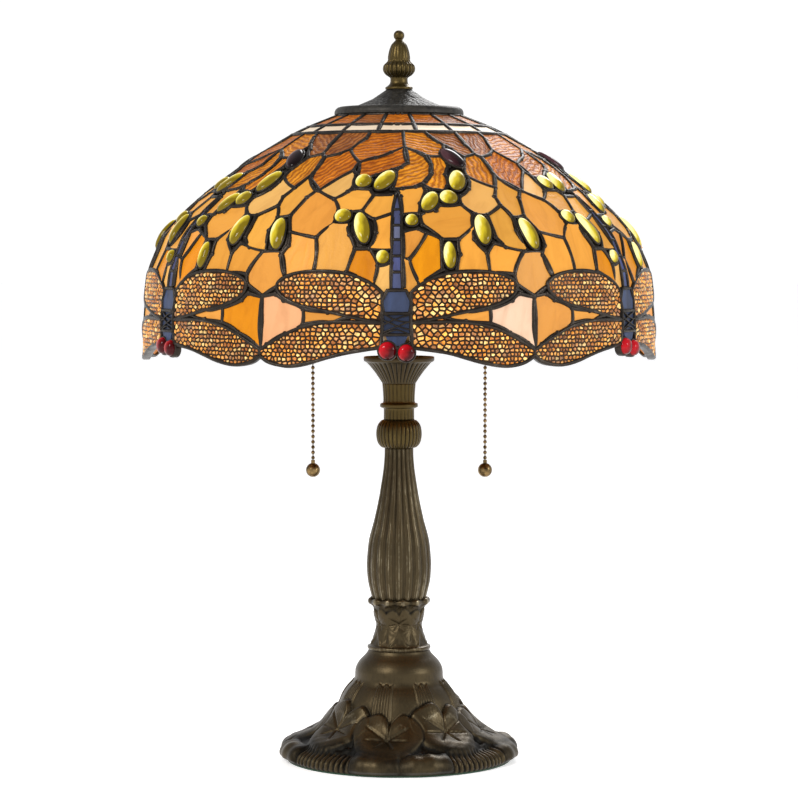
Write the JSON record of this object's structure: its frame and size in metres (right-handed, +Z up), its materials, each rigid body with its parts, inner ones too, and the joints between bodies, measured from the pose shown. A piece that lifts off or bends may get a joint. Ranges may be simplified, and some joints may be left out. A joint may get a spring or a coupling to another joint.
{
  "type": "table lamp",
  "caption": "Leaded-glass dome shade with dragonflies, standing on a turned, flower-relief bronze column over pull-chain lamp holders.",
  "frame": {"origin": "on the table top, under the lamp's vertical axis", "axes": "+Z up; the front of the lamp, with a dragonfly in the middle, faces -Y; the pull chains hang at -X and +X"},
  "size_m": [0.4086, 0.4176, 0.584],
  "materials": {
    "bronze": "satin",
    "dark_cap": "satin",
    "felt": "matte",
    "bush": "matte",
    "steel": "satin",
    "brass": "satin",
    "liner_card": "matte",
    "moulded": "satin",
    "bulb_glass": "matte",
    "bulb_metal": "satin",
    "bulb_foot": "gloss",
    "brown_glass": "gloss",
    "cream_glass": "gloss",
    "amber_glass": "gloss",
    "pink_glass": "gloss",
    "blue_glass": "gloss",
    "jewel_green": "gloss",
    "jewel_dark": "gloss",
    "jewel_red": "gloss",
    "came": "satin",
    "filigree_metal": "satin"
  },
  "bodies": {
    "stand": {"foot_casting": "bronze", "felt_pad": "felt", "cord_bush": "bush", "foot_washer": "steel", "foot_nut": "steel", "threaded_pipe": "steel", "leaf_collar": "bronze", "fluted_column": "bronze", "ribbed_knop": "bronze", "ringed_neck": "bronze", "flared_cup": "bronze", "cluster_hub": "brass", "riser_tube": "steel", "seat_nut": "steel", "seat_washer": "steel", "left_nipple": "steel", "left_holder_cap": "brass", "left_holder_shell": "brass", "left_holder_liner": "liner_card", "left_switch_body": "moulded", "left_screw_shell": "brass", "left_chain_mouth": "brass", "right_nipple": "steel", "right_holder_cap": "brass", "right_holder_shell": "brass", "right_holder_liner": "liner_card", "right_switch_body": "moulded", "right_screw_shell": "brass", "right_chain_mouth": "brass"},
    "shade": {"shade_cap": "dark_cap", "crown_collar": "dark_cap", "crown_glass": "brown_glass", "cream_band_glass": "cream_glass", "brown_field_glass": "brown_glass", "amber_field_glass": "amber_glass", "wing_glass": "amber_glass", "wing_gap_glass": "pink_glass", "dragonfly_tail_glass": "blue_glass", "dragonfly_body_glass": "blue_glass", "wing_filigree": "filigree_metal", "came_rings": "came", "came_ribs": "came", "oval_jewels": "jewel_green", "dark_jewels": "jewel_dark", "eye_jewels": "jewel_red"},
    "finial": {"finial": "bronze"},
    "left_bulb": {"left_bulb_glass": "bulb_glass", "left_bulb_base": "bulb_metal", "left_bulb_contact": "bulb_foot"},
    "right_bulb": {"right_bulb_glass": "bulb_glass", "right_bulb_base": "bulb_metal", "right_bulb_contact": "bulb_foot"},
    "left_pull": {"left_pull_rod": "brass"},
    "right_pull": {"right_pull_rod": "brass"},
    "left_chain": {"left_bead_chain": "brass", "left_chain_ball": "brass"},
    "right_chain": {"right_bead_chain": "brass", "right_chain_ball": "brass"}
  },
  "joints": [
    {"name": "shade_lift", "type": "slide", "parent": "stand", "child": "shade", "axis": [0, 0, 1], "range_m": [0, 0.23]},
    {"name": "finial_turn", "type": "hinge", "parent": "shade", "child": "finial", "pos_m": [0, 0, 0.55], "axis": [0, 0, 1], "continuous": true},
    {"name": "left_bulb_turn", "type": "hinge", "parent": "stand", "child": "left_bulb", "pos_m": [0, 0, 0.345], "axis": [-0.9063, 0, 0.4226], "continuous": true},
    {"name": "left_pull", "type": "slide", "parent": "stand", "child": "left_pull", "axis": [0, 0, -1], "range_m": [0, 0.012], "stiffness_N_per_m": 600, "springref_m": -0.003},
    {"name": "left_chain_swing", "type": "hinge", "parent": "left_pull", "child": "left_chain", "pos_m": [-0.069, 0, 0.3423], "axis": [0, 1, 0], "range_deg": [-18, 18]},
    {"name": "right_bulb_turn", "type": "hinge", "parent": "stand", "child": "right_bulb", "pos_m": [0, 0, 0.345], "axis": [0.9063, 0, 0.4226], "continuous": true},
    {"name": "right_pull", "type": "slide", "parent": "stand", "child": "right_pull", "axis": [0, 0, -1], "range_m": [0, 0.012], "stiffness_N_per_m": 600, "springref_m": -0.003},
    {"name": "right_chain_swing", "type": "hinge", "parent": "right_pull", "child": "right_chain", "pos_m": [0.069, 0, 0.3423], "axis": [0, 1, 0], "range_deg": [-18, 18]}
  ]
}
